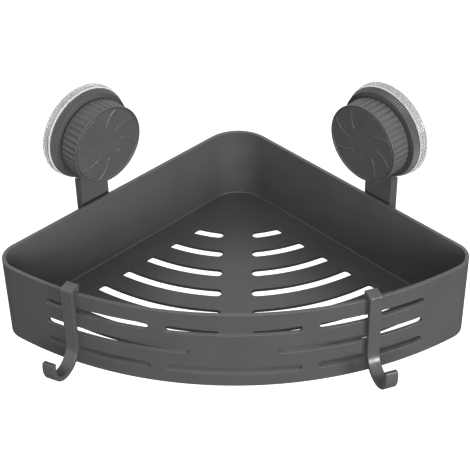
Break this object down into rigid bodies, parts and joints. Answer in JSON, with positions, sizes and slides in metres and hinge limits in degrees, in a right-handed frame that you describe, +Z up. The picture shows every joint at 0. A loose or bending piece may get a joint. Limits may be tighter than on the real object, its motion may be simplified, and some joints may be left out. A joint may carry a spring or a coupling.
{
  "type": "corner shower caddy",
  "caption": "Quarter-round corner shower shelf with slotted floor and front wall, clip-on J hooks and screw-down suction cup holders on strap hangers.",
  "frame": {"origin": "middle of the bounding box at the height of the tray's lower edge", "axes": "+X across the front to the right, +Y towards the room's corner, +Z up"},
  "size_m": [0.2948, 0.217, 0.1402],
  "materials": {
    "grey_abs": "satin",
    "clear_pvc": "clear",
    "white_nylon": "matte",
    "steel": "satin",
    "brass": "satin"
  },
  "bodies": {
    "tray": {"tray": "grey_abs"},
    "left_hook": {"left_hook": "grey_abs"},
    "right_hook": {"right_hook": "grey_abs"},
    "left_holder": {"left_hanger": "grey_abs", "left_cup_cover": "grey_abs", "left_suction_disc": "clear_pvc", "left_slip_washer": "white_nylon"},
    "left_puller": {"left_stud": "steel", "left_pull_plate": "white_nylon"},
    "left_knob": {"left_knob": "grey_abs", "left_knob_nut": "brass", "left_knob_cap": "grey_abs"},
    "right_holder": {"right_hanger": "grey_abs", "right_cup_cover": "grey_abs", "right_suction_disc": "clear_pvc", "right_slip_washer": "white_nylon"},
    "right_puller": {"right_stud": "steel", "right_pull_plate": "white_nylon"},
    "right_knob": {"right_knob": "grey_abs", "right_knob_nut": "brass", "right_knob_cap": "grey_abs"}
  },
  "joints": [
    {"name": "left_hanger_lift", "type": "slide", "parent": "tray", "child": "left_holder", "axis": [0, 0, 1], "range_m": [0, 0.03]},
    {"name": "right_hanger_lift", "type": "slide", "parent": "tray", "child": "right_holder", "axis": [0, 0, 1], "range_m": [0, 0.03]},
    {"name": "left_knob_turn", "type": "hinge", "parent": "left_holder", "child": "left_knob", "pos_m": [-0.09935, 0.03424, 0.1078], "axis": [-0.7071, 0.7071, 0], "range_deg": [0, 270]},
    {"name": "right_knob_turn", "type": "hinge", "parent": "right_holder", "child": "right_knob", "pos_m": [0.09935, 0.03424, 0.1078], "axis": [0.7071, 0.7071, 0], "range_deg": [0, 270]},
    {"name": "left_stud_pull", "type": "slide", "parent": "left_holder", "child": "left_puller", "axis": [0.7071, -0.7071, 0], "range_m": [0, 0.0015]},
    {"name": "right_stud_pull", "type": "slide", "parent": "right_holder", "child": "right_puller", "axis": [-0.7071, -0.7071, 0], "range_m": [0, 0.0015]},
    {"name": "left_hook_slide", "type": "hinge", "parent": "tray", "child": "left_hook", "pos_m": [0, 0.14861, 0.05], "axis": [0, 0, 1], "range_deg": [-9.3, 23.1]},
    {"name": "right_hook_slide", "type": "hinge", "parent": "tray", "child": "right_hook", "pos_m": [0, 0.14861, 0.05], "axis": [0, 0, 1], "range_deg": [-19, 13.4]}
  ],
  "couplings": [
    {"joint": "left_stud_pull", "follows": "left_knob_turn", "m_per_rad": 0.000318},
    {"joint": "right_stud_pull", "follows": "right_knob_turn", "m_per_rad": 0.000318}
  ]
}
